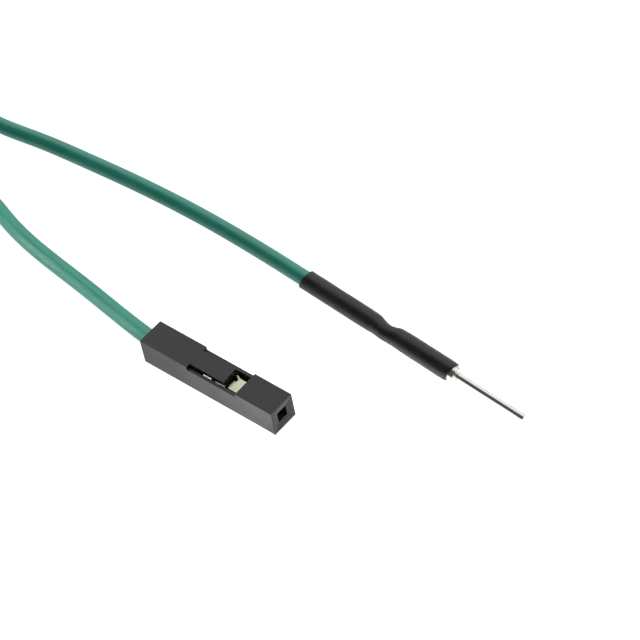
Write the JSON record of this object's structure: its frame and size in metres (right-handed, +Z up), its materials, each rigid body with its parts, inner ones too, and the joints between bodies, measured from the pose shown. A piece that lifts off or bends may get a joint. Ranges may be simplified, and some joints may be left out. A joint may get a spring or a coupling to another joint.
{
  "type": "breadboard jumper wire",
  "caption": "Short stranded hook-up wire with a black single-way crimp socket housing on one end and a round solid pin in a shrunk sleeve on the other.",
  "frame": {"origin": "middle of the socket housing's flat underside, which rests on the surface", "axes": "+X out of the socket's mouth, +Z up, away from the surface that the wire lies on"},
  "size_m": [0.0796, 0.0153, 0.0025],
  "materials": {
    "housing_black": "satin moulded",
    "terminal_gold": "pale gold plating",
    "insulation_green": "satin extruded",
    "strand_tin": "tinned",
    "pin_silver": "polished plating",
    "sleeve_black": "satin shrunk"
  },
  "bodies": {
    "root": {"socket_housing": "housing_black", "socket_terminal": "terminal_gold", "wire_insulation": "insulation_green", "strand_0": "strand_tin", "strand_1": "strand_tin", "strand_2": "strand_tin", "strand_3": "strand_tin", "strand_4": "strand_tin", "strand_5": "strand_tin", "strand_6": "strand_tin", "pin_terminal": "pin_silver", "heat_shrink_sleeve": "sleeve_black"}
  },
  "joints": []
}
